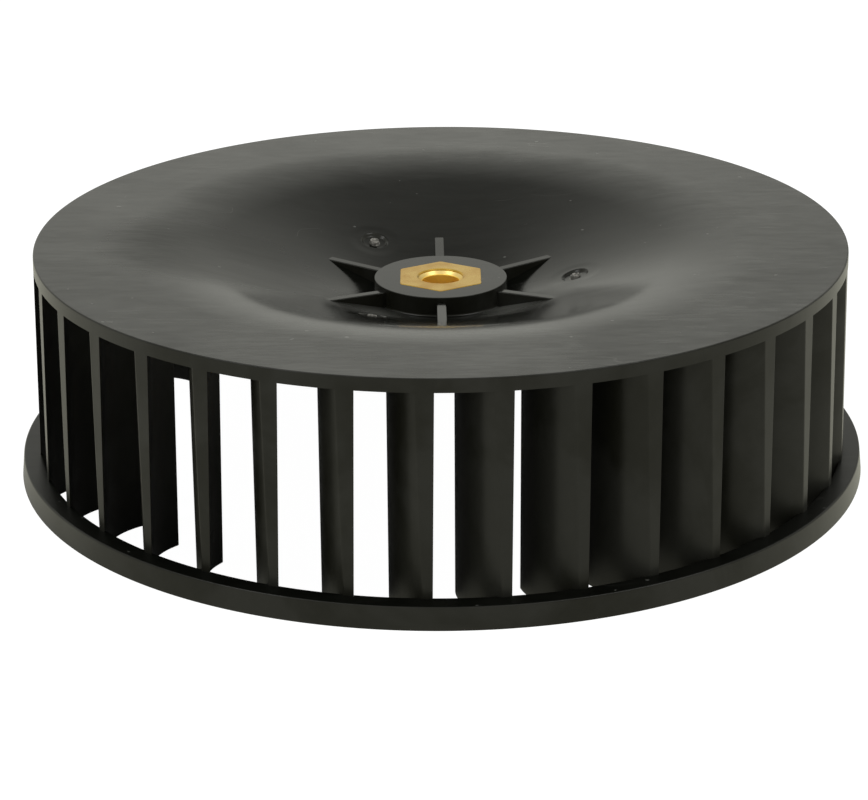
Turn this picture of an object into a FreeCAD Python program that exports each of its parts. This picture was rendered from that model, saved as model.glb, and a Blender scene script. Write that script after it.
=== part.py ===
import FreeCAD, Part
import math
import os

# Centrifugal fan impeller with curved blades, moulded in one piece round a brass hexagon insert.
# Millimetres. The axis is Z, the origin lies on it in the plane of the intake ring's lower face,
# on which the wheel rests. The backplate is on top and its dish opens upwards.

V = FreeCAD.Vector
AXIS = V(0, 0, 1)
ORIGIN = V(0, 0, 0)

# Wheel
wheel_height = 54.2         # from the ring's lower face to the flat of the backplate
plate_radius = 94.7         # backplate at its upper face
plate_thickness = 3.1       # backplate and dish wall
plate_edge_break = 0.4      # broken upper edge of the backplate
side_draft_deg = 1.05       # the blade tips and the plate's edge lean out towards the ring

# Intake ring
ring_radius = 100.0         # at its lower face
ring_height = 5.3
ring_draft_deg = 6.0
ring_bore_clearance = 0.2   # the bore is this much over the plate's radius, so that the mould can part
ring_edge_break = 0.45      # outer edge of the ledge

# Blades
blade_count = 36
blade_inner_radius = 80.6
blade_sweep_deg = 5.24      # the hollow face's tip leads its inner end by this
blade_root_width = 2.6      # along the circle of the inner edges, at mid height
blade_tip_width = 3.06      # along the rim, at mid height
blade_draft_deg = 1.45      # hollow face only, thicker towards the plate; the round face is upright
blade_phase_deg = -91.16    # where one blade's leading tip edge stands

# Dish: flat, then a crown arc, then a plain cone down to the boss
dish_radius = 74.7          # the flat of the plate ends here
dish_crown_radius = 71.0
dish_slope_deg = 16.9       # slope of the cone

# Boss
boss_radius = 15.7          # where it leaves the dish
boss_draft_deg = 1.0
boss_drop = 10.0            # boss top below the flat of the plate
boss_length = 18.0          # its lower end is hidden, so this is a guess
boss_edge_break = 0.2       # at its top
boss_foot_break = 1.1       # slope where the boss meets the dish

# Hub ribs
rib_count = 6
rib_phase_deg = 30.4
rib_thickness = 2.25
rib_drop = 10.9             # rib top below the flat of the plate, at the boss
rib_rise_deg = 2.6          # its top rises outwards
rib_bite = 1.0              # how deep a rib is rooted in the dish and the boss

# Gate marks, midway between ribs
gate_count = 3
gate_distance = 31.6
gate_dimple_radius = 3.2
gate_dimple_depth = 0.45
gate_stub_radius = 1.15
gate_stub_height = 0.5

# A sink pit at the root of the front rib
pit_radius = 0.55
pit_depth = 0.9

# Brass insert
insert_flats = 19.0
insert_stand = 0.1          # it stands this much above and below the boss
insert_corner_chamfer = 0.25
bore_radius = 4.35
bore_chamfer = 1.15

# Values worked out from the sizes above
plate_under = wheel_height - plate_thickness
boss_top = wheel_height - boss_drop
boss_bottom = boss_top - boss_length
rib_top = wheel_height - rib_drop
ring_bore_radius = plate_radius + ring_bore_clearance
blade_middle = plate_under / 2
dish_slope = math.radians(dish_slope_deg)
rib_rise = math.tan(math.radians(rib_rise_deg))
gate_phase_deg = rib_phase_deg - 180.0 / rib_count
front_rib_deg = rib_phase_deg - 2 * 360.0 / rib_count


def turn(angle_deg, point):
    """Point carried round the axis."""
    return FreeCAD.Rotation(AXIS, angle_deg).multVec(point)


def polar(radius, angle_deg, z):
    return turn(angle_deg, V(radius, 0, z))


def section_point(radius, z):
    return V(radius, 0, z)


def side_radius(z):
    """Radius of the drafted outer side at a height."""
    return plate_radius + (wheel_height - z) * math.tan(math.radians(side_draft_deg))


def line(a, b):
    return Part.LineSegment(a, b).toShape()


def arc(a, middle, b):
    return Part.Arc(a, middle, b).toShape()


def revolve(edges):
    return Part.Face(Part.Wire(edges)).revolve(ORIGIN, AXIS, 360)


def polyline(points):
    return [line(a, b) for a, b in zip(points, points[1:])]


def circle_edges(shape, radius, z, near=1e-4):
    """Full circles of the shape at a radius and height."""
    found = []
    for edge in shape.Edges:
        curve = edge.Curve
        if not isinstance(curve, Part.Circle):
            continue
        if abs(curve.Radius - radius) < near and abs(curve.Center.z - z) < near:
            found.append(edge)
    return found


def crown_point(slope, depth):
    """Point on the crown arc of the dish, a depth under its upper face."""
    reach = dish_crown_radius - depth
    return section_point(dish_radius - reach * math.sin(slope),
                         wheel_height - dish_crown_radius + reach * math.cos(slope))


def floor_point(radius, depth):
    """Point on the cone, which the crown arc runs into, a depth under its upper face."""
    top = crown_point(dish_slope, depth)
    return section_point(radius, top.z - (top.x - radius) * math.tan(dish_slope))


def dish_edges(depth, inner_radius):
    """The dish outline at a depth under its upper face, from the flat in to the boss."""
    crown_end = crown_point(dish_slope, depth)
    return [
        arc(crown_point(0, depth), crown_point(dish_slope / 2, depth), crown_end),
        line(crown_end, floor_point(inner_radius, depth)),
    ]


def boss_side_radius(z):
    """The boss tapers both ways from the dish floor."""
    middle = floor_point(boss_radius, plate_thickness / 2).z
    return boss_radius - abs(z - middle) * math.tan(math.radians(boss_draft_deg))


def backplate():
    """Plate with its dish, as one turned section."""
    inner = boss_radius / 2
    top_outer = section_point(side_radius(wheel_height), wheel_height)
    under_outer = section_point(side_radius(plate_under), plate_under)
    upper = dish_edges(0, inner)
    lower = dish_edges(plate_thickness, inner)
    edges = [line(top_outer, crown_point(0, 0))] + upper
    edges.append(line(floor_point(inner, 0), floor_point(inner, plate_thickness)))
    edges += lower
    edges.append(line(crown_point(0, plate_thickness), under_outer))
    edges.append(line(under_outer, top_outer))
    return revolve(Part.__sortEdges__(edges))


def boss():
    middle = floor_point(boss_radius, plate_thickness / 2).z
    corners = [
        section_point(0, boss_bottom),
        section_point(boss_side_radius(boss_bottom), boss_bottom),
        section_point(boss_side_radius(middle), middle),
        section_point(boss_side_radius(boss_top), boss_top),
        section_point(0, boss_top),
    ]
    return revolve(polyline(corners + corners[:1]))


def hub_plate():
    """Backplate and boss in one, with the edges that show broken."""
    shape = backplate().fuse(boss()).removeSplitter()
    foot = floor_point(boss_radius, 0)
    shape = shape.makeChamfer(boss_foot_break, circle_edges(shape, foot.x, foot.z, plate_thickness / 3))
    shape = shape.makeChamfer(boss_edge_break, circle_edges(shape, boss_side_radius(boss_top), boss_top))
    return shape.makeChamfer(plate_edge_break, circle_edges(shape, plate_radius, wheel_height))


def blade_sector(from_deg, to_deg):
    """The stretch of the blade annulus between two directions, that one blade stands in."""
    corners = [
        section_point(blade_inner_radius, 0),
        section_point(side_radius(0), 0),
        section_point(side_radius(plate_under), plate_under),
        section_point(blade_inner_radius, plate_under),
    ]
    face = Part.Face(Part.Wire(polyline(corners + corners[:1])))
    sector = face.revolve(ORIGIN, AXIS, to_deg - from_deg)
    sector.rotate(ORIGIN, AXIS, from_deg)
    return sector


def blade_face(inner_deg, tip_deg, draft_deg):
    """Cylinder that a blade face lies on.

    In plan it leaves the inner radius radially and reaches the rim at the tip. Its axis leans by the
    draft along the normal of its chord, towards the hollow side on top.
    """
    start = polar(blade_inner_radius, inner_deg, 0)
    tip = polar(side_radius(blade_middle), tip_deg, 0)
    sideways = turn(inner_deg, V(0, 1, 0))
    chord = tip - start
    radius = chord.Length ** 2 / (2 * chord.dot(sideways))
    centre = start + sideways * radius
    normal = (centre - (start + tip) * 0.5).normalize()
    lean = (AXIS + normal * math.tan(math.radians(draft_deg))).normalize()
    middle = centre + AXIS * blade_middle
    return Part.makeCylinder(radius, 2 * plate_under, middle - lean * plate_under, lean)


def blade():
    """One blade: its sector, inside the cylinder of its round face and outside that of its hollow face."""
    root_deg = math.degrees(blade_root_width / blade_inner_radius)
    tip_deg = math.degrees(blade_tip_width / side_radius(blade_middle))
    hollow = blade_face(-blade_sweep_deg, 0, blade_draft_deg)
    rounded = blade_face(-blade_sweep_deg - root_deg, -tip_deg, 0)
    margin_deg = 90.0 / blade_count
    sector = blade_sector(-blade_sweep_deg - root_deg - margin_deg, margin_deg)
    return sector.common(rounded).cut(hollow)


def intake_ring():
    """The band that ties the blade ends, with a ledge outside the blades."""
    top_radius = ring_radius - ring_height * math.tan(math.radians(ring_draft_deg))
    corners = [
        section_point(ring_bore_radius, 0),
        section_point(ring_radius, 0),
        section_point(top_radius, ring_height),
        section_point(ring_bore_radius, ring_height),
    ]
    shape = revolve(polyline(corners + corners[:1]))
    return shape.makeChamfer(ring_edge_break, circle_edges(shape, top_radius, ring_height))


def rib_top_point(radius):
    return section_point(radius, rib_top + (radius - boss_radius) * rib_rise)


def rib():
    """One hub rib along +X. Its top rises more slowly than the dish floor, which it runs out into."""
    depth = min(rib_bite, plate_thickness / 2)
    root = floor_point(boss_radius - 2 * rib_bite, depth)
    root_top = rib_top_point(root.x)
    run_out = root.x + (root_top.z - root.z) / (math.tan(dish_slope) - rib_rise)
    corners = [root, rib_top_point(run_out), root_top]
    face = Part.Face(Part.Wire(polyline(corners + corners[:1])))
    plate = face.extrude(V(0, rib_thickness, 0))
    plate.translate(V(0, -rib_thickness / 2, 0))
    return plate


def spread(shape, count, phase_deg):
    """Copies of a shape round the axis."""
    copies = []
    for index in range(count):
        copy = shape.copy()
        copy.rotate(ORIGIN, AXIS, phase_deg + index * 360.0 / count)
        copies.append(copy)
    return copies


def gate_foot():
    """Where a gate lies on the dish floor, and the direction straight out of the surface there."""
    foot = floor_point(gate_distance, 0)
    outwards = V(-math.sin(dish_slope), 0, math.cos(dish_slope))
    return foot, outwards


def gate_dimple():
    foot, outwards = gate_foot()
    height = 4 * gate_dimple_depth
    return Part.makeCylinder(gate_dimple_radius, height, foot - outwards * gate_dimple_depth, outwards)


def gate_stub():
    """What is left of the sprue, broken off inside its dimple."""
    foot, outwards = gate_foot()
    bottom = foot - outwards * (2 * gate_dimple_depth)
    return Part.makeCylinder(gate_stub_radius, gate_dimple_depth + gate_stub_height, bottom, outwards)


def sink_pit():
    at = polar(boss_radius + 2 * pit_radius, front_rib_deg, rib_top - pit_depth)
    return Part.makeCylinder(pit_radius, 2 * pit_depth, at, AXIS)


def hexagon(z, flats):
    corner = flats / math.sqrt(3)
    points = [polar(corner, 30 + 60 * side, z) for side in range(7)]
    return Part.Face(Part.makePolygon(points))


def hexagon_bar(z, height, flats):
    return hexagon(z, flats).extrude(V(0, 0, height))


def impeller_wheel():
    shape = hub_plate()
    shape = shape.fuse(spread(blade(), blade_count, blade_phase_deg))
    shape = shape.fuse(intake_ring())
    shape = shape.fuse(spread(rib(), rib_count, rib_phase_deg))
    shape = shape.cut(spread(gate_dimple(), gate_count, gate_phase_deg))
    shape = shape.fuse(spread(gate_stub(), gate_count, gate_phase_deg))
    shape = shape.cut(sink_pit())
    pocket_margin = 1.0
    pocket = hexagon_bar(boss_bottom - pocket_margin, boss_length + 2 * pocket_margin, insert_flats)
    return shape.cut(pocket).removeSplitter()


def bore_cone(z, outwards):
    """Countersink at one end of the bore."""
    mouth = bore_radius + bore_chamfer
    return Part.makeCone(mouth, bore_radius, bore_chamfer, V(0, 0, z), V(0, 0, -outwards))


def hub_insert():
    """Brass hexagon bar with a plain bore, countersunk at both ends."""
    top = boss_top + insert_stand
    bottom = boss_bottom - insert_stand
    length = top - bottom
    bar = hexagon_bar(bottom, length, insert_flats)
    turned = Part.makeCylinder(insert_flats / math.sqrt(3) - insert_corner_chamfer, length, V(0, 0, bottom))
    bar = bar.common(turned)
    bore = Part.makeCylinder(bore_radius, length, V(0, 0, bottom))
    return bar.cut([bore, bore_cone(top, 1), bore_cone(bottom, -1)])


def main():
    os.makedirs("parts", exist_ok=True)
    nodes = {"impeller_wheel": impeller_wheel(), "hub_insert": hub_insert()}
    for name, shape in nodes.items():
        solids = shape.Solids
        if len(solids) != 1:
            raise RuntimeError(name + " is not one solid")
        box = solids[0].BoundBox
        print(name, "volume", round(solids[0].Volume), "size", round(box.XLength, 2), round(box.YLength, 2),
              round(box.ZLength, 2), "valid", solids[0].isValid())
        solids[0].exportStep("parts/" + name + ".step")


main()
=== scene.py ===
import math
import random

import bmesh
import bpy
from bpy.props import FloatProperty, FloatVectorProperty, IntProperty, PointerProperty
from mathutils import Matrix, Vector


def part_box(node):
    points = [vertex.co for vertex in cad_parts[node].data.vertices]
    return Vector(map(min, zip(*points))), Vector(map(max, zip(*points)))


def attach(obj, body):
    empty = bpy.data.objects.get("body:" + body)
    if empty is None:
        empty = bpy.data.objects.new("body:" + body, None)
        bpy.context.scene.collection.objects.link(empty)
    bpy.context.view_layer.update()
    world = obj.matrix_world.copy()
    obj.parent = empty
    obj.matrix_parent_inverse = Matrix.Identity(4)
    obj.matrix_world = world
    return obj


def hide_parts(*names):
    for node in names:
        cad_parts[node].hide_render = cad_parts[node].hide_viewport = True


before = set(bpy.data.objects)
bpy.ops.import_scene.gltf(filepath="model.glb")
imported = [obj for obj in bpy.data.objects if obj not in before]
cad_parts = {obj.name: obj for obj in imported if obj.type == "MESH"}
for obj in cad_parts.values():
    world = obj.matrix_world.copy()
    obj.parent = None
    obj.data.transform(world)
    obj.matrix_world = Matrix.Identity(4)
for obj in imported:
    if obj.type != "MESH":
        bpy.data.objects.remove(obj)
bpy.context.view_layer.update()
WHEEL_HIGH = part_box("impeller_wheel")[1]
INSERT_LOW, INSERT_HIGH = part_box("hub_insert")

bl_info = {
    "name": "Fan impeller",
    "version": (1, 0, 0),
    "blender": (4, 5, 0),
    "location": "3D View > Sidebar > Impeller",
    "description": "Dresses a moulded fan wheel and its brass hub insert, and sets a plain studio",
    "category": "Object",
}

MM = 0.001
WHEEL_NODE = "impeller_wheel"
INSERT_NODE = "hub_insert"
LATHE_STEPS = 360
CORNER_STEPS = 8
SHARP_DEGREES = 13


def length(label, description, millimetres):
    """A size in metres, whose default is written in millimetres."""
    return FloatProperty(name=label, description=description, default=millimetres * MM,
                         min=0.0, unit="LENGTH", precision=5)


def angle(label, description, degrees):
    return FloatProperty(name=label, description=description, default=math.radians(degrees),
                         unit="ROTATION")


def colour(label, description, *values):
    return FloatVectorProperty(name=label, description=description, default=values,
                               subtype="COLOR", size=3, min=0.0, max=1.0)


def amount(label, description, value):
    return FloatProperty(name=label, description=description, default=value, min=0.0)


class WheelSizes(bpy.types.PropertyGroup):
    """Sizes of the moulded wheel. Its height follows from the frame."""

    height: length("Height", "From the ring's lower face to the flat of the backplate", WHEEL_HIGH.z / MM)
    plate_radius: length("Plate radius", "Backplate at its upper face", 94.7)
    plate_thickness: length("Plate thickness", "Backplate and dish wall", 3.1)
    plate_edge: length("Plate edge", "Rounding of the backplate's upper edge", 0.4)
    side_draft: angle("Side draft", "How far the blade tips lean out towards the ring", 1.05)

    ring_radius: length("Ring radius", "Intake ring at its lower face", 100.0)
    ring_height: length("Ring height", "Height of the intake ring", 5.3)
    ring_draft: angle("Ring draft", "Lean of the ring's outer face", 6.0)
    ring_bore: length("Ring bore", "Inner radius of the intake ring", 94.9)
    ring_edge: length("Ring edge", "Rounding of the ring's ledge", 0.45)

    blade_count: IntProperty(name="Blades", description="Number of blades", default=36, min=3)
    blade_inner: length("Blade inner radius", "Circle of the blades' inner edges", 80.6)
    blade_sweep: angle("Blade sweep", "The hollow face's tip leads its inner end by this", 5.24)
    blade_root: length("Blade root width", "Along the circle of the inner edges, at mid height", 2.6)
    blade_tip: length("Blade tip width", "Along the rim, at mid height", 3.06)
    blade_draft: angle("Blade draft", "Lean of the hollow face", 1.45)
    blade_phase: angle("Blade phase", "Where one blade's leading tip edge stands", -91.16)
    blade_edge: length("Blade edge", "Rounding of the blades' long edges", 0.28)

    dish_radius: length("Dish radius", "The flat of the plate ends here", 74.7)
    dish_crown: length("Dish crown", "Radius of the arc that leads down from the flat", 71.0)
    dish_slope: angle("Dish slope", "Slope of the cone from the arc down to the boss", 16.9)

    boss_radius: length("Boss radius", "Boss where it meets the dish", 15.7)
    boss_draft: angle("Boss draft", "Taper of the boss", 1.0)
    boss_drop: length("Boss drop", "Boss top below the flat of the plate", 10.0)
    boss_length: length("Boss length", "Whole length of the boss", 18.0)
    boss_edge: length("Boss edge", "Rounding of the boss's rims", 0.2)
    boss_foot: length("Boss foot", "Rounding where the boss meets the dish", 0.8)

    rib_count: IntProperty(name="Ribs", description="Number of hub ribs", default=6, min=2)
    rib_phase: angle("Rib phase", "Direction of one rib", 30.4)
    rib_thickness: length("Rib thickness", "Thickness of a hub rib", 2.25)
    rib_drop: length("Rib drop", "Rib top below the flat of the plate, at the boss", 10.9)
    rib_rise: angle("Rib rise", "How steeply a rib's top rises outwards", 2.6)
    rib_bite: length("Rib bite", "How deep a rib is rooted in the dish and the boss", 1.0)
    rib_edge: length("Rib edge", "Rounding of a rib's upper edges", 0.3)

    gate_count: IntProperty(name="Gates", description="Number of gate marks", default=3, min=1)
    gate_distance: length("Gate distance", "Gate marks from the axis", 31.6)
    dimple_radius: length("Dimple radius", "Recess round a gate", 3.2)
    dimple_depth: length("Dimple depth", "Depth of the recess", 0.6)
    stub_radius: length("Stub radius", "Broken sprue left in the recess", 1.15)
    stub_height: length("Stub height", "How far a broken sprue stands above the dish at most", 0.15)
    pit_radius: length("Pit radius", "Sink pit at the root of the front rib", 0.55)
    pit_depth: length("Pit depth", "Depth of the sink pit", 0.9)
    pocket_flats: length("Pocket flats", "Hexagon pocket across its flats", 19.0)


class InsertSizes(bpy.types.PropertyGroup):
    """Sizes of the brass insert. Its two ends follow from the frame."""

    flats: length("Flats", "Hexagon bar across its flats", 19.0)
    corner: length("Corner", "How much the turned corners lose", 0.14)
    edge: length("Edge", "Rounding of the end faces' rims", 0.12)
    bore_radius: length("Bore radius", "Plain bore for the shaft", 4.35)
    countersink: length("Countersink", "Width and depth of the cone at each end of the bore", 1.15)
    mouth_step: length("Mouth step", "Small turned step at the countersink's rim", 0.28)


class FinishSettings(bpy.types.PropertyGroup):
    """Colours and gloss of the two materials."""

    # Painted light and shade: the sides take a lighter colour and what faces up a darker one, which sets
    # their brightness apart
    plastic: colour("Plastic", "Black moulded plastic", 0.0068, 0.0068, 0.0038)
    polished_and_shaded: colour("Polished plastic", "Plastic that faces up, under its haze", 0.0018, 0.0021, 0.0012)
    dust_and_right_light: colour("Dust", "Haze and wipe marks on the plastic", 0.085, 0.086, 0.078)
    torn: colour("Torn plastic", "Stress-whitened plastic of the broken sprues", 0.30, 0.29, 0.26)
    plastic_gloss: amount("Plastic gloss", "Specular level of the plastic", 0.17)
    plastic_roughness: amount("Plastic roughness", "Roughness of the wheel's sides", 0.34)
    plastic_relief: length("Plastic relief", "Depth of wipe marks, grain and scratches", 0.06)
    haze_film: amount("Haze film", "Weight of the thin film that makes the haze shine", 0.17)
    worn_film: amount("Worn film", "Weight of the film on the worn front of the flat", 0.18)
    film_roughness: amount("Film roughness", "Roughness of both films", 0.3)
    brass: colour("Brass", "Turned brass", 0.56, 0.365, 0.064)
    brass_deep: colour("Brass, tarnished", "Faint tarnish in patches", 0.47, 0.25, 0.034)
    # Painted highlight: the end cones take a paler brass that stands in for the white highlights they show
    mouth_painted_highlight: colour("Brass, countersink", "Paler brass of the bore's end cones", 0.76, 0.57, 0.21)
    # Painted light: the shaded inside of the bore takes a brighter, more saturated brass
    bore_painted_light: colour("Brass, bored", "Brighter brass inside the bore", 0.90, 0.62, 0.12)
    brass_roughness: amount("Brass roughness", "Roughness of the turned faces", 0.24)
    brass_relief: length("Brass relief", "Depth of tool marks and nicks", 0.04)


class StageSettings(bpy.types.PropertyGroup):
    """Camera, floor and light."""

    camera_elevation: angle("Camera elevation", "How far the camera looks down", 21.137)
    camera_roll: angle("Camera roll", "Turn about the line of sight", -0.3889)
    camera_distance: length("Camera distance", "From the point it looks at", 675.9)
    camera_aim: FloatVectorProperty(name="Camera aim", description="The point it looks at", size=3,
                                    default=(-0.001765, 0.0, 0.01299), subtype="TRANSLATION")
    camera_lens: FloatProperty(name="Lens", description="Focal length on a 36 mm sensor, in mm",
                               default=117.1, min=1.0)
    floor_size: length("Floor size", "Side of the square floor", 8000.0)
    floor: colour("Floor", "Pale floor as the object's light finds it", 0.8, 0.8, 0.79)
    mirrored_white: colour("Mirrored white", "Faintly warm white that the object mirrors", 1.0, 1.0, 0.91)
    mirrored_floor: colour("Mirrored floor", "Warmer white of the floor's mirror image", 1.0, 0.99, 0.80)
    world_level: amount("World level", "Strength of the even light from all round", 0.6)
    mirror_level: amount("Mirror level", "Strength of that light in the object's reflections", 0.91)
    overhead_grey: amount("Overhead grey", "What reflections lose high at the back", 0.32)
    right_grey: amount("Right grey", "What reflections lose low on the right", 0.30)
    horizon_grey: amount("Horizon grey", "What reflections lose near the horizon", 0.17)
    lamp_power: amount("Lamp power", "Each of the two soft boxes, in watts", 6.0)
    lamp_size: length("Lamp size", "Side of a soft box", 600.0)
    lamp_place: FloatVectorProperty(name="Lamp place", description="Right soft box. The left one mirrors it",
                                    size=3, default=(0.95, -0.3, 1.55), subtype="TRANSLATION")


def polar(radius, direction, z=0.0):
    """Point at a radius and direction from the axis."""
    return Vector((radius * math.cos(direction), radius * math.sin(direction), z))


def softened(corners):
    """Closed outline from (x, y, reach) corners, each with a short curve that starts a reach away from it."""
    outline = []
    before = corners[-1:] + corners[:-1]
    after = corners[1:] + corners[:1]
    for previous, corner, following in zip(before, corners, after):
        point = Vector(corner[:2])
        reach = corner[2]
        if not reach:
            outline.append(point)
            continue
        start = point + (Vector(previous[:2]) - point).normalized() * reach
        end = point + (Vector(following[:2]) - point).normalized() * reach
        for step in range(CORNER_STEPS + 1):
            share = step / CORNER_STEPS
            outline.append(start.lerp(point, share).lerp(point.lerp(end, share), share))
    return outline


def spaced(first, last, count):
    """Numbers from first to last in even steps, both included."""
    return [first + (last - first) * step / count for step in range(count + 1)]


def lofted(rings, endless=False):
    """Shape through rings of points. An endless one joins its last ring to its first, others have caps."""
    count = len(rings[0])
    points = [point for ring in rings for point in ring]
    faces = []
    for number in range(len(rings) if endless else len(rings) - 1):
        low = number * count
        high = (number + 1) % len(rings) * count
        for index in range(count):
            following = (index + 1) % count
            faces.append((low + index, low + following, high + following, high + index))
    if not endless:
        faces.append(tuple(reversed(range(count))))
        faces.append(tuple(range(len(points) - count, len(points))))
    return points, faces


def lathed(section, steps=LATHE_STEPS, start=0.0):
    """Ring turned round the axis from a closed outline of radius and height that stays off the axis."""
    rings = []
    for step in range(steps):
        direction = start + step * math.tau / steps
        rings.append([polar(radius, direction, z) for radius, z in section])
    return lofted(rings, endless=True)


def turned_plug(profile, steps):
    """Solid of revolution from an open profile of radius and height, with a flat cap at each end."""
    return lofted([[polar(radius, step * math.tau / steps, z) for step in range(steps)]
                   for radius, z in profile])


def moved(shape, matrix):
    points, faces = shape
    return [matrix @ point for point in points], faces


def gathered(shapes):
    """Several shapes as one."""
    points = []
    faces = []
    for more_points, more_faces in shapes:
        offset = len(points)
        points += more_points
        faces += [tuple(index + offset for index in face) for face in more_faces]
    return points, faces


def spread(shape, count, phase):
    """Copies of a shape round the axis, as one."""
    return gathered([moved(shape, Matrix.Rotation(phase + index * math.tau / count, 4, "Z"))
                     for index in range(count)])


def solid(name, shape):
    """Object of a closed shape, its faces turned outwards."""
    mesh = bpy.data.meshes.new(name)
    mesh.from_pydata(shape[0], [], shape[1])
    edit = bmesh.new()
    edit.from_mesh(mesh)
    bmesh.ops.recalc_face_normals(edit, faces=edit.faces)
    edit.to_mesh(mesh)
    edit.free()
    item = bpy.data.objects.new(name, mesh)
    bpy.context.scene.collection.objects.link(item)
    return item


def combine(body, shape, operation):
    """Joins a shape to the body, or cuts it out, and leaves one closed skin."""
    tool = solid("tool", shape)
    modifier = body.modifiers.new("combine", "BOOLEAN")
    modifier.operation = operation
    modifier.solver = "MANIFOLD"
    modifier.object = tool
    graph = bpy.context.evaluated_depsgraph_get()
    mesh = bpy.data.meshes.new_from_object(body.evaluated_get(graph))
    if not mesh.polygons:
        raise RuntimeError(f"{operation} left nothing of {body.name}")
    spent = [body.data, tool.data]
    body.modifiers.clear()
    body.data = mesh
    bpy.data.objects.remove(tool)
    for item in spent:
        bpy.data.meshes.remove(item)


def dressed(item, material, node):
    """Smooth faces between sharp edges, a material, and the CAD node that the piece stands for."""
    item.data.materials.clear()
    item.data.materials.append(material)
    item.data.shade_smooth()
    item.data.set_sharp_from_angle(angle=math.radians(SHARP_DEGREES))
    shading = item.modifiers.new("even_shading", "WEIGHTED_NORMAL")
    shading.keep_sharp = True
    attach(item, "root")
    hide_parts(node)


def side_radius(sizes, z):
    """Radius of the drafted outer side at a height."""
    return sizes.plate_radius + (sizes.height - z) * math.tan(sizes.side_draft)


def crown_point(sizes, slope, depth):
    """Point on the dish's upper arc, a depth under its skin."""
    reach = sizes.dish_crown - depth
    return (sizes.dish_radius - reach * math.sin(slope),
            sizes.height - sizes.dish_crown + reach * math.cos(slope))


def floor_height(sizes, radius, depth):
    """Height of the cone that the arc runs into, a depth under its skin."""
    top_radius, top_z = crown_point(sizes, sizes.dish_slope, depth)
    return top_z - (top_radius - radius) * math.tan(sizes.dish_slope)


def dish_run(sizes, depth):
    """The dish's section from the flat in to the start of the cone, as corners with no rounding."""
    arc_steps = 20
    points = [crown_point(sizes, slope, depth) for slope in spaced(0, sizes.dish_slope, arc_steps)]
    return [(radius, z, 0) for radius, z in points]


def plate_and_boss(sizes):
    """Backplate, dish and boss as one turned section, left open inside the hexagon pocket."""
    under = sizes.height - sizes.plate_thickness
    boss_top = sizes.height - sizes.boss_drop
    boss_bottom = boss_top - sizes.boss_length
    middle = floor_height(sizes, sizes.boss_radius, sizes.plate_thickness / 2)
    open_radius = sizes.pocket_flats / 3

    def boss_side(z):
        return sizes.boss_radius - abs(z - middle) * math.tan(sizes.boss_draft)

    upper_foot = floor_height(sizes, sizes.boss_radius, 0)
    lower_foot = floor_height(sizes, sizes.boss_radius, sizes.plate_thickness)
    corners = [(sizes.plate_radius, sizes.height, sizes.plate_edge)]
    corners += dish_run(sizes, 0)
    corners += [
        (boss_side(upper_foot), upper_foot, sizes.boss_foot),
        (boss_side(boss_top), boss_top, sizes.boss_edge),
        (open_radius, boss_top, 0),
        (open_radius, boss_bottom, 0),
        (boss_side(boss_bottom), boss_bottom, sizes.boss_edge),
        (boss_side(lower_foot), lower_foot, sizes.boss_foot),
    ]
    corners += reversed(dish_run(sizes, sizes.plate_thickness))
    corners.append((side_radius(sizes, under), under, 0))
    return lathed(softened(corners))


def face_circle(sizes, inner_direction, tip_direction):
    """Circle of a blade face in plan: it leaves the inner radius radially and reaches the rim at the tip."""
    middle = (sizes.height - sizes.plate_thickness) / 2
    start = polar(sizes.blade_inner, inner_direction)
    tip = polar(side_radius(sizes, middle), tip_direction)
    sideways = polar(1.0, inner_direction + math.pi / 2)
    chord = tip - start
    radius = chord.length_squared / (2 * chord.dot(sideways))
    centre = start + sideways * radius
    chord_normal = (centre - (start + tip) / 2).normalized()
    return centre, radius, chord_normal


def face_direction(centre, radius, reach):
    """Direction from the axis in which a blade face's circle is a reach away from the axis."""
    away = centre.length
    cosine = (reach ** 2 + away ** 2 - radius ** 2) / (2 * reach * away)
    return math.atan2(centre.y, centre.x) - math.acos(cosine)


def blade_outline(sizes, z, inset):
    """A blade's section at a height, drawn in by an inset at its hidden ends."""
    middle = (sizes.height - sizes.plate_thickness) / 2
    hollow_centre, hollow_radius, lean = face_circle(sizes, -sizes.blade_sweep, 0)
    hollow_centre = hollow_centre + lean * math.tan(sizes.blade_draft) * (z - middle)
    root_angle = sizes.blade_root / sizes.blade_inner
    tip_angle = sizes.blade_tip / side_radius(sizes, middle)
    round_centre, round_radius, _ = face_circle(sizes, -sizes.blade_sweep - root_angle, -tip_angle)
    face_steps = 14
    reaches = spaced(sizes.blade_inner + inset, side_radius(sizes, z) - inset, face_steps)
    hollow = [polar(reach, face_direction(hollow_centre, hollow_radius + inset, reach)) for reach in reaches]
    rounded = [polar(reach, face_direction(round_centre, round_radius - inset, reach)) for reach in reaches]
    run = hollow + rounded[::-1]
    ends = {0, len(hollow) - 1, len(hollow), len(run) - 1}
    corners = [(point.x, point.y, sizes.blade_edge if index in ends else 0)
               for index, point in enumerate(run)]
    return [Vector((x, y, z)) for x, y in softened(corners)]


def blade(sizes):
    """One blade, from the ring's lower face up into the plate."""
    under = sizes.height - sizes.plate_thickness
    hidden = 0.3 * MM
    height_steps = 6
    rings = [blade_outline(sizes, 0, hidden / 2), blade_outline(sizes, hidden / 2, 0)]
    rings += [blade_outline(sizes, z, 0) for z in spaced(hidden / 2, under, height_steps)[1:]]
    rings += [blade_outline(sizes, under + hidden, hidden), blade_outline(sizes, under + 3 * hidden, hidden)]
    return lofted(rings)


def intake_ring(sizes):
    """The band that ties the blade ends, with a ledge outside the blades."""
    top = sizes.ring_radius - sizes.ring_height * math.tan(sizes.ring_draft)
    small = sizes.ring_edge * 0.6
    return lathed(softened([
        (sizes.ring_bore, 0, small),
        (sizes.ring_radius, 0, small),
        (top, sizes.ring_height, sizes.ring_edge),
        (sizes.ring_bore, sizes.ring_height, small),
    ]))


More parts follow.
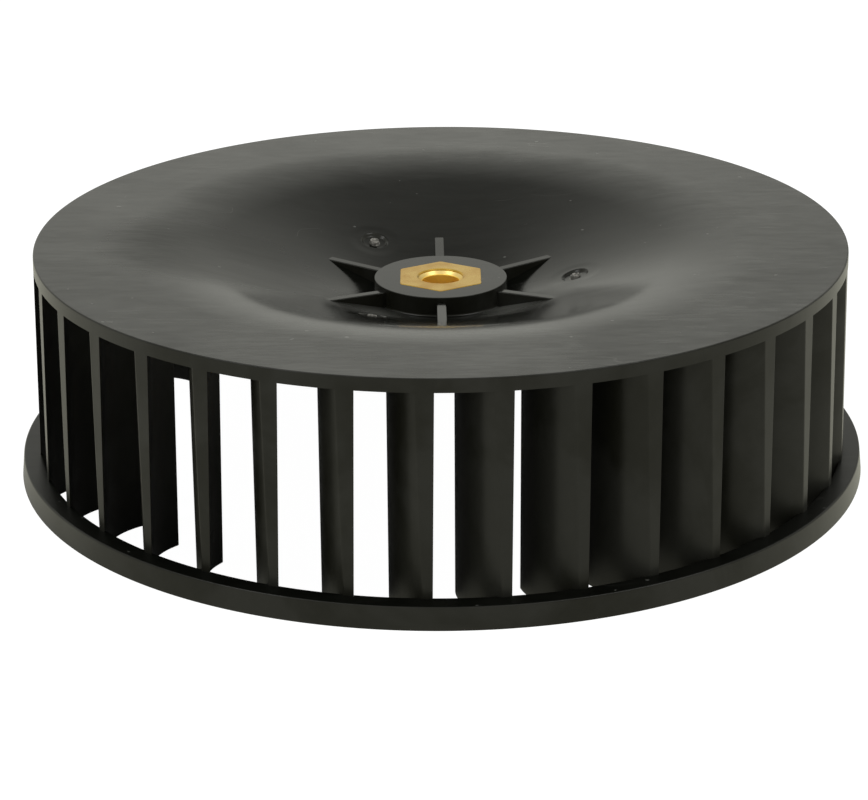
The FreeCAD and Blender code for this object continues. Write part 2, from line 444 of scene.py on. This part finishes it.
def rib_top(sizes, radius):
    """Height of a rib's top, which rises a little outwards."""
    return sizes.height - sizes.rib_drop + (radius - sizes.boss_radius) * math.tan(sizes.rib_rise)


def rib(sizes):
    """One hub rib along +X, with rounded edges and buried in the dish at its foot."""
    half = sizes.rib_thickness / 2
    depth = min(sizes.rib_bite, sizes.plate_thickness / 2)
    start = sizes.boss_radius - 2 * sizes.rib_bite
    closing = math.tan(sizes.dish_slope) - math.tan(sizes.rib_rise)
    run_out = start + (rib_top(sizes, start) - floor_height(sizes, start, depth)) / closing
    blunt_end = 0.05 * MM
    length_steps = 12
    rings = []
    for reach in spaced(start, run_out - blunt_end, length_steps):
        top = rib_top(sizes, reach)
        foot = floor_height(sizes, reach, depth)
        edge = min(sizes.rib_edge, (top - foot) * 0.4)
        section = softened([(-half, foot, 0), (half, foot, 0), (half, top, edge), (-half, top, edge)])
        rings.append([Vector((reach, y, z)) for y, z in section])
    return lofted(rings)


def gate_direction(sizes, index):
    """Each gate lies midway between two ribs."""
    return sizes.rib_phase - math.pi / sizes.rib_count + index * math.tau / sizes.gate_count


def gate_frame(sizes, index):
    """Places a shape drawn round Z on a gate, square to the dish floor."""
    foot = Vector((sizes.gate_distance, 0, floor_height(sizes, sizes.gate_distance, 0)))
    square = Matrix.Translation(foot) @ Matrix.Rotation(-sizes.dish_slope, 4, "Y")
    return Matrix.Rotation(gate_direction(sizes, index), 4, "Z") @ square


def gate_dimples(sizes):
    """Shallow round recesses with a soft rim, to be cut out."""
    deep = sizes.dimple_depth
    rim = sizes.dimple_radius
    wall_steps = 9
    profile = [(0.5 * rim, -deep)]
    for share in spaced(0, 1, wall_steps):
        smooth = share * share * (3 - 2 * share)
        profile.append(((0.78 + 0.30 * share) * rim, deep * (smooth * 1.04 - 1)))
    profile.append((1.08 * rim, 2 * deep))
    dimple = turned_plug(profile, steps=72)
    return gathered([moved(dimple, gate_frame(sizes, index)) for index in range(sizes.gate_count)])


def gate_stubs(sizes):
    """Broken sprues, each with its own torn top."""
    draw = random.Random(7)
    steps = 28
    stubs = []
    deep = sizes.dimple_depth
    for index in range(sizes.gate_count):
        high = sizes.stub_height * draw.uniform(0.3, 1.0)
        # Share of the radius, height and how ragged the ring is
        profile = [(1.0, -2 * deep, 0), (1.06, -0.9 * deep, 0.03), (0.96, -0.35 * deep, 0.05),
                   (0.88, 0.8 * high, 0.12), (0.66, high, 0.14), (0.34, high - 0.45 * deep, 0.16)]
        rings = []
        for share, z, torn in profile:
            rings.append([polar(sizes.stub_radius * share * (1 + draw.uniform(-torn, torn)),
                                step * math.tau / steps,
                                z + draw.uniform(-torn, torn) * deep)
                          for step in range(steps)])
        stubs.append(moved(lofted(rings), gate_frame(sizes, index)))
    return gathered(stubs)


def sink_pit(sizes):
    """Small pit at the root of the front rib, to be cut out."""
    reach = sizes.boss_radius + sizes.pit_radius
    front = sizes.rib_phase - 2 * math.tau / sizes.rib_count
    place = polar(reach, front, rib_top(sizes, reach))
    profile = [(0.4 * sizes.pit_radius, -sizes.pit_depth), (0.85 * sizes.pit_radius, -0.9 * sizes.pit_depth),
               (sizes.pit_radius, -0.6 * sizes.pit_depth), (sizes.pit_radius, sizes.pit_depth)]
    return moved(turned_plug(profile, steps=32), Matrix.Translation(place))


def hexagon_rings(flats, levels):
    """Hexagon prism through levels of (height, inset), its flats facing +Y and -Y."""
    rings = []
    for z, inset in levels:
        corner = (flats - 2 * inset) / math.sqrt(3)
        rings.append([polar(corner, math.radians(30 + 60 * side), z) for side in range(6)])
    return lofted(rings)


def pocket(sizes):
    """Hexagon pocket right through the boss, to be cut out."""
    beyond = sizes.plate_thickness
    high = sizes.height - sizes.boss_drop + beyond
    low = high - sizes.boss_length - 2 * beyond
    return hexagon_rings(sizes.pocket_flats, [(low, 0), (high, 0)])


def insert_bar(sizes):
    """Hexagon bar whose corners are turned and whose end rims are rounded."""
    turned_radius = sizes.flats / math.sqrt(3) - sizes.corner
    half = sizes.flats / 2
    side_steps = 10
    corner_half = math.acos(half / turned_radius)
    outline = []
    for side in range(6):
        middle = math.radians(60 * side)
        for turn in spaced(-corner_half, corner_half, side_steps):
            outline.append((middle, turn))
        next_corner = math.radians(60 * side + 30)
        for share in (-0.5, 0.0, 0.5):
            outline.append((next_corner + share * (math.radians(60) - 2 * corner_half), None))
    rings = []
    low, high = INSERT_LOW.z, INSERT_HIGH.z
    rim = sizes.edge
    levels = [(low, rim), (low + 0.3 * rim, 0.3 * rim), (low + rim, 0),
              (high - rim, 0), (high - 0.3 * rim, 0.3 * rim), (high, rim)]
    for z, inset in levels:
        ring = []
        for direction, turn in outline:
            if turn is None:
                ring.append(polar(turned_radius - inset, direction, z))
            else:
                ring.append(polar((half - inset) / math.cos(turn), direction + turn, z))
        rings.append(ring)
    return lofted(rings)


def insert_bore(sizes):
    """Bore with a cone at each end, which starts from a small turned step in a soft rim, to be cut out."""
    mouth = sizes.bore_radius + sizes.countersink
    step = sizes.mouth_step
    clear = 2 * MM
    half = [(mouth + 0.2 * step, 0), (mouth, -0.12 * step), (mouth - 0.8 * step, -0.75 * step),
            (mouth - 0.9 * step, -1.4 * step), (mouth - 1.15 * step, -1.5 * step),
            (sizes.bore_radius + 0.08 * MM, -sizes.countersink + 0.04 * MM),
            (sizes.bore_radius, -sizes.countersink - 0.1 * MM)]
    low, high = INSERT_LOW.z, INSERT_HIGH.z
    top = [(mouth + 0.2 * step, high + clear)] + [(radius, high + z) for radius, z in half]
    bottom = [(mouth + 0.2 * step, low - clear)] + [(radius, low - z) for radius, z in half]
    return turned_plug(top + bottom[::-1], steps=128)


class Field:
    """A value in a shader. Plain arithmetic on it adds Math nodes."""

    def __init__(self, sheet, socket):
        self.sheet = sheet
        self.socket = socket

    def math(self, operation, *values):
        return self.sheet.add("ShaderNodeMath", {"operation": operation}, dict(enumerate(values)))

    def __add__(self, other):
        return self.math("ADD", self, other)

    def __radd__(self, other):
        return self.math("ADD", other, self)

    def __sub__(self, other):
        return self.math("SUBTRACT", self, other)

    def __rsub__(self, other):
        return self.math("SUBTRACT", other, self)

    def __mul__(self, other):
        return self.math("MULTIPLY", self, other)

    def __rmul__(self, other):
        return self.math("MULTIPLY", other, self)

    def __truediv__(self, other):
        return self.math("DIVIDE", self, other)

    def __pow__(self, other):
        return self.math("POWER", self, other)

    def __abs__(self):
        return self.math("ABSOLUTE", self)

    def larger(self, other):
        return self.math("MAXIMUM", self, other)

    def smaller(self, other):
        return self.math("MINIMUM", self, other)

    def ramp(self, low, high):
        """0 below low, 1 above high and a smooth rise between them. A fall has low above high."""
        return self.sheet.add("ShaderNodeMapRange", {"interpolation_type": "SMOOTHSTEP"},
                              {"Value": self, "From Min": low, "From Max": high})


class Sheet:
    """A node tree, emptied and ready for a shader."""

    def __init__(self, tree):
        self.tree = tree
        tree.nodes.clear()

    def add(self, kind, settings=None, inputs=None, output=0):
        """Any node: its settings first, then the values or links of its sockets."""
        node = self.tree.nodes.new(kind)
        for name, value in (settings or {}).items():
            setattr(node, name, value)
        for key, value in (inputs or {}).items():
            if isinstance(value, Field):
                self.tree.links.new(value.socket, node.inputs[key])
            else:
                node.inputs[key].default_value = value
        return Field(self, node.outputs[output] if len(node.outputs) else None)

    def place(self):
        """Point of the surface in the object's own frame, in metres."""
        return self.add("ShaderNodeTexCoord", output="Object")

    def split(self, vector):
        return [self.add("ShaderNodeSeparateXYZ", {}, {0: vector}, output) for output in range(3)]

    def stretch(self, vector, x, y, z):
        return self.add("ShaderNodeVectorMath", {"operation": "MULTIPLY"}, {0: vector, 1: (x, y, z)})

    def noise(self, vector, scale, detail=3.0, roughness=0.5, distortion=0.0):
        return self.add("ShaderNodeTexNoise", {}, {"Vector": vector, "Scale": scale, "Detail": detail,
                                                   "Roughness": roughness, "Distortion": distortion})

    def blend(self, share, first, second):
        """Colour that goes from first to second as the share goes from 0 to 1."""
        return self.add("ShaderNodeMix", {"data_type": "RGBA"}, {0: share, 6: first, 7: second}, 2)

    def finish(self, shader, kind="ShaderNodeOutputMaterial"):
        self.add(kind, {}, {"Surface": shader})


def opaque(values):
    return (*values, 1.0)


def new_sheet(name):
    material = bpy.data.materials.new(name)
    material.use_nodes = True
    return material, Sheet(material.node_tree)


def nearest_gate(sizes, x, y):
    """Distance in plan to the nearest gate."""
    found = None
    for index in range(sizes.gate_count):
        gate = polar(sizes.gate_distance, gate_direction(sizes, index))
        distance = ((x - gate.x) ** 2 + (y - gate.y) ** 2) ** 0.5
        found = distance if found is None else found.smaller(distance)
    return found


def oval(x, y, centre, reach, edges):
    """1 inside an oval in plan and 0 outside it. The edges are squared shares of its reach."""
    share = ((x - centre[0]) / reach[0]) ** 2 + ((y - centre[1]) / reach[1]) ** 2
    return 1 - share.ramp(*edges)


def plastic_material(sizes, finishes):
    """Black satin plastic: wipe marks on what faces up, grain, specks, hairline scratches, torn gates, a
    painted darker shade on what faces up, painted brightening towards the right, and a lighter patch in front
    of the hub.
    """
    material, sheet = new_sheet("black_plastic")
    place = sheet.place()
    x, y, z = sheet.split(place)
    radius = (x * x + y * y) ** 0.5
    normal = sheet.add("ShaderNodeNewGeometry", output="Normal")
    facing_up = sheet.split(normal)[2].ramp(0.7, 0.95)

    wiped = sheet.noise(sheet.stretch(place, 50.0, 300.0, 100.0), 1.0, 4.0, 0.6, 0.5)
    fine = sheet.noise(sheet.stretch(place, 150.0, 1000.0, 300.0), 1.0, 3.0, 0.6, 0.3)
    cloudy = sheet.noise(place, 30.0, 4.0, 0.6, 0.5)
    grain = sheet.noise(place, 1900.0, 2.0)
    specks = sheet.noise(place, 420.0, 1.0).ramp(0.785, 0.81)
    hair_course = sheet.noise(sheet.stretch(place, 34.0, 90.0, 60.0), 1.0, 1.0, 0.4, 0.6)
    hair = (1 - (abs(hair_course - 0.5)).ramp(0.0, 0.004)) * sheet.noise(place, 60.0, 1.0).ramp(0.58, 0.66)
    in_dish = 1 - radius.ramp(0.05, 0.075)
    scuffed = oval(x, y, (-0.050, -0.004), (0.026, 0.024), (0.2, 1.6))
    worn = oval(x, y, (-0.011, -0.074), (0.040, 0.026), (0.3, 1.6))
    # Painted light: the haze grows towards +x, so the right of the top looks brighter
    right_painted_light = 0.85 + 0.15 * (x + 0.3 * y).ramp(-0.05, 0.05)
    on_ledge = radius.ramp(0.0946, 0.0950) * facing_up
    above_cone = z - floor_height(sizes, 0, 0) - radius * math.tan(sizes.dish_slope)
    on_cone = 1 - above_cone.ramp(0.0006, 0.0012)
    near_hub = 1 - radius.ramp(0.020, 0.036)
    before_hub = (1 - y.ramp(-0.012, 0.0)) * abs(x).ramp(0.004, 0.014) * near_hub * on_cone
    gate = nearest_gate(sizes, x, y)

    haze_and_right_light = 0.34 * wiped.ramp(0.4, 0.6) + 0.38 * fine.ramp(0.4, 0.6) + 0.32 * cloudy.ramp(0.4, 0.6)
    # From here the haze and the dust carry that painted brightening of the right side too
    haze_and_right_light = haze_and_right_light * right_painted_light * (1 - 0.85 * in_dish) * (1 - 0.9 * on_ledge)
    # A lighter, rougher patch on the cone in front of the hub, mottled
    lighter_hub_patch = before_hub * (0.3 + 0.5 * cloudy.ramp(0.4, 0.6))
    film = (finishes.haze_film * haze_and_right_light + finishes.worn_film * worn * (1 - on_ledge)) * facing_up
    dust_and_right_light = (haze_and_right_light * 0.2 + lighter_hub_patch + specks * 0.8 + hair * 0.3) * facing_up
    dust_and_right_light = (dust_and_right_light + (0.12 * cloudy.ramp(0.4, 0.6) + 0.08 * fine) * (1 - facing_up)).smaller(1)
    on_stub = 1 - gate.ramp(0.9 * sizes.stub_radius, 1.25 * sizes.stub_radius)
    torn = on_stub * above_cone.ramp(-0.0022, -0.0014)
    torn = torn * (0.35 + 0.65 * sheet.noise(place, 1500.0, 3.0).ramp(0.4, 0.6))

    # Painted shade: what faces up takes a darker colour than the sides
    base = sheet.blend(facing_up, opaque(finishes.plastic), opaque(finishes.polished_and_shaded))
    base = sheet.blend(dust_and_right_light, base, opaque(finishes.dust_and_right_light))
    base = sheet.blend(torn, base, opaque(finishes.torn))
    matt = 0.2 * scuffed + 0.12 * (wiped - 0.5) + 0.24 * before_hub
    roughness = finishes.plastic_roughness - 0.11 * in_dish + facing_up * (matt - 0.10)
    roughness = roughness + 0.5 * torn + 0.15 * on_ledge
    height = (0.5 * wiped + 0.2 * fine - 0.3 * hair) * facing_up + 0.5 * cloudy + 0.12 * grain
    relief = finishes.plastic_relief
    bump = sheet.add("ShaderNodeBump", {}, {"Strength": 0.3, "Distance": relief, "Height": height})
    sunk = gate.ramp(1.25 * sizes.dimple_radius, 2.1 * sizes.dimple_radius)
    bump = sheet.add("ShaderNodeBump", {}, {"Distance": relief, "Height": sunk, "Normal": bump})
    shader = sheet.add("ShaderNodeBsdfPrincipled", {}, {
        "Base Color": base, "Roughness": roughness, "IOR": 1.5,
        "Specular IOR Level": finishes.plastic_gloss, "Normal": bump,
        "Coat Weight": film, "Coat Roughness": finishes.film_roughness})
    sheet.finish(shader)
    return material


def brass_material(sizes, finishes):
    """Turned brass: concentric tool marks, faint tarnish, small scratches, cones painted paler for their
    highlights and a bore painted brighter for its light.
    """
    material, sheet = new_sheet("turned_brass")
    place = sheet.place()
    x, y, z = sheet.split(place)
    radius = (x * x + y * y) ** 0.5
    rings = sheet.add("ShaderNodeCombineXYZ", {}, {"X": radius * 3600.0, "Y": z * 2400.0, "Z": 0.0})
    marks = sheet.noise(rings, 1.0, 3.0, 0.6)
    patches = sheet.noise(place, 150.0, 3.0).ramp(0.38, 0.68)
    nicks = sheet.noise(sheet.stretch(place, 500.0, 2600.0, 900.0), 1.0, 2.0).ramp(0.68, 0.74)
    share = (0.55 * patches + 0.25 * marks.ramp(0.35, 0.7) + 0.3 * nicks).smaller(1)
    base = sheet.blend(share, opaque(finishes.brass), opaque(finishes.brass_deep))
    in_bore = 1 - (radius / sizes.bore_radius).ramp(1.01, 1.04)
    in_mouth = 1 - (radius / sizes.bore_radius).ramp(1.18, 1.20)
    # Painted highlight on the bore's end cones
    base = sheet.blend(in_mouth, base, opaque(finishes.mouth_painted_highlight))
    # Painted light inside the bore
    base = sheet.blend(in_bore, base, opaque(finishes.bore_painted_light))
    roughness = finishes.brass_roughness + 0.10 * (marks - 0.5) + 0.10 * patches
    roughness = roughness + 0.14 * in_mouth + 0.16 * in_bore
    bump = sheet.add("ShaderNodeBump", {}, {
        "Strength": 0.25, "Distance": finishes.brass_relief, "Height": marks - 0.4 * nicks})
    shader = sheet.add("ShaderNodeBsdfPrincipled", {}, {
        "Base Color": base, "Metallic": 1.0, "Roughness": roughness, "Normal": bump})
    sheet.finish(shader)
    return material


def ray_is(sheet, *kinds):
    """1 for the kinds of ray that are named, such as those that come straight from the camera."""
    found = None
    for kind in kinds:
        ray = sheet.add("ShaderNodeLightPath", output=f"Is {kind} Ray")
        found = ray if found is None else found.larger(ray)
    return found


def floor_material(stage):
    """Pale floor that the camera sees as white. In reflections it glows white outside a painted shadow edge
    round the wheel's footprint, and under the wheel its mirror image has the full shadow.
    """
    material, sheet = new_sheet("pale_floor")
    x, y = sheet.split(sheet.place())[:2]
    # Painted shadow edge: reflections see the glowing floor only outside this oval, which reaches further
    # towards -x
    outside = ((x * x + y * y) ** 0.5 + 0.15 * x).ramp(0.079, 0.094)
    seen_white = (1.06, 1.06, 1.06, 1)
    white = sheet.blend(ray_is(sheet, "Glossy"), seen_white, opaque(stage.mirrored_floor))
    glow = sheet.add("ShaderNodeEmission", {}, {"Color": white, "Strength": 0.93})
    faint = sheet.add("ShaderNodeBsdfDiffuse", {}, {"Color": (0.16, 0.16, 0.16, 1)})
    shown = sheet.add("ShaderNodeAddShader", {}, {0: glow, 1: faint})
    plain = sheet.add("ShaderNodeBsdfDiffuse", {}, {"Color": opaque(stage.floor)})
    share = ray_is(sheet, "Camera", "Transmission").larger(ray_is(sheet, "Glossy") * outside)
    sheet.finish(sheet.add("ShaderNodeMixShader", {}, {0: share, 1: plain, 2: shown}))
    return material


def white_world(stage):
    """Even light all round that looks white. Its reflections grey at the horizon, at the back and right."""
    world = bpy.data.worlds.new("even_light")
    world.use_nodes = True
    sheet = Sheet(world.node_tree)
    x, y, z = sheet.split(sheet.add("ShaderNodeTexCoord", output="Generated"))
    overhead = z.ramp(0.52, 0.80) * y.ramp(0.0, 0.3)
    low_right = x.ramp(0.06, 0.30) * (1 - z.ramp(0.3, 0.55))
    horizon = 1 - z.ramp(0.0, 0.2)
    mirrored = stage.mirror_level - stage.overhead_grey * overhead
    mirrored = mirrored - stage.right_grey * low_right - stage.horizon_grey * horizon
    shown = sheet.blend(ray_is(sheet, "Glossy"), (1, 1, 1, 1), opaque(stage.mirrored_white))
    strength = stage.world_level + (1 - stage.world_level) * ray_is(sheet, "Camera", "Transmission")
    strength = strength + (mirrored - strength) * ray_is(sheet, "Glossy")
    background = sheet.add("ShaderNodeBackground", {}, {"Color": shown, "Strength": strength})
    sheet.finish(background, "ShaderNodeOutputWorld")
    bpy.context.scene.world = world


def soft_box(name, place, target, size, power):
    """A square lamp that looks at a point."""
    lamp = bpy.data.lights.new(name, "AREA")
    lamp.size = size
    lamp.energy = power
    item = bpy.data.objects.new(name, lamp)
    item.location = place
    item.rotation_euler = (target - place).to_track_quat("-Z", "Y").to_euler()
    bpy.context.scene.collection.objects.link(item)


def camera(stage):
    """Camera at the photograph's viewing angle."""
    lens = bpy.data.cameras.new("camera")
    lens.lens = stage.camera_lens
    lens.sensor_width = 36.0
    lens.sensor_fit = "HORIZONTAL"
    lens.clip_start = 0.01
    item = bpy.data.objects.new("camera", lens)
    bpy.context.scene.collection.objects.link(item)
    turn = (Matrix.Rotation(math.pi / 2 - stage.camera_elevation, 4, "X")
            @ Matrix.Rotation(stage.camera_roll, 4, "Z"))
    back = turn @ Vector((0, 0, stage.camera_distance))
    item.matrix_world = Matrix.Translation(Vector(stage.camera_aim) + back) @ turn
    bpy.context.scene.camera = item


class MouldWheel(bpy.types.Operator):
    """Makes the moulded wheel: plate, dish, blades, ring, ribs and gate marks in one skin"""

    bl_idname = "mesh.fan_mould_wheel"
    bl_label = "Mould the wheel"

    def execute(self, context):
        sizes = context.scene.fan_wheel
        wheel = solid("Moulded_wheel", plate_and_boss(sizes))
        combine(wheel, spread(blade(sizes), sizes.blade_count, sizes.blade_phase), "UNION")
        combine(wheel, intake_ring(sizes), "UNION")
        combine(wheel, spread(rib(sizes), sizes.rib_count, sizes.rib_phase), "UNION")
        combine(wheel, gathered([gate_dimples(sizes), sink_pit(sizes), pocket(sizes)]), "DIFFERENCE")
        combine(wheel, gate_stubs(sizes), "UNION")
        dressed(wheel, plastic_material(sizes, context.scene.fan_finish), WHEEL_NODE)
        return {"FINISHED"}


class TurnInsert(bpy.types.Operator):
    """Makes the brass insert: hexagon bar with a countersunk bore"""

    bl_idname = "mesh.fan_turn_insert"
    bl_label = "Turn the insert"

    def execute(self, context):
        sizes = context.scene.fan_insert
        insert = solid("Brass_insert", insert_bar(sizes))
        combine(insert, insert_bore(sizes), "DIFFERENCE")
        dressed(insert, brass_material(sizes, context.scene.fan_finish), INSERT_NODE)
        return {"FINISHED"}


class SetStage(bpy.types.Operator):
    """Sets a pale floor, even light with two soft boxes, and the camera"""

    bl_idname = "scene.fan_set_stage"
    bl_label = "Set the stage"

    def execute(self, context):
        stage = context.scene.fan_stage
        half = stage.floor_size / 2
        mesh = bpy.data.meshes.new("floor")
        corners = [(-half, -half, 0), (half, -half, 0), (half, half, 0), (-half, half, 0)]
        mesh.from_pydata(corners, [], [(0, 1, 2, 3)])
        mesh.materials.append(floor_material(stage))
        floor = bpy.data.objects.new("floor", mesh)
        context.scene.collection.objects.link(floor)
        white_world(stage)
        target = Vector((0, 0, WHEEL_HIGH.z / 2))
        for name, side in (("soft_box_left", -1), ("soft_box_right", 1)):
            place = Vector(stage.lamp_place)
            place.x *= side
            soft_box(name, place, target, stage.lamp_size, stage.lamp_power)
        camera(stage)
        view = context.scene.view_settings
        view.view_transform = "Standard"
        return {"FINISHED"}


class ImpellerPanel(bpy.types.Panel):
    """Lists the pieces and the stage"""

    bl_idname = "VIEW3D_PT_fan_impeller"
    bl_label = "Fan impeller"
    bl_space_type = "VIEW_3D"
    bl_region_type = "UI"
    bl_category = "Impeller"

    def draw(self, context):
        groups = [
            (MouldWheel, context.scene.fan_wheel),
            (TurnInsert, context.scene.fan_insert),
            (SetStage, context.scene.fan_stage),
        ]
        for operator, settings in groups:
            box = self.layout.box()
            box.operator(operator.bl_idname)
            for name in settings.__annotations__:
                box.prop(settings, name)
        for name in context.scene.fan_finish.__annotations__:
            self.layout.prop(context.scene.fan_finish, name)


SETTINGS = {
    "fan_wheel": WheelSizes,
    "fan_insert": InsertSizes,
    "fan_finish": FinishSettings,
    "fan_stage": StageSettings,
}
CLASSES = [*SETTINGS.values(), MouldWheel, TurnInsert, SetStage, ImpellerPanel]


def register():
    for item in CLASSES:
        bpy.utils.register_class(item)
    for name, group in SETTINGS.items():
        setattr(bpy.types.Scene, name, PointerProperty(type=group))


def unregister():
    for name in SETTINGS:
        delattr(bpy.types.Scene, name)
    for item in reversed(CLASSES):
        bpy.utils.unregister_class(item)


def main():
    register()
    bpy.ops.mesh.fan_mould_wheel()
    bpy.ops.mesh.fan_turn_insert()
    bpy.ops.scene.fan_set_stage()


if __name__ == "__main__":
    main()
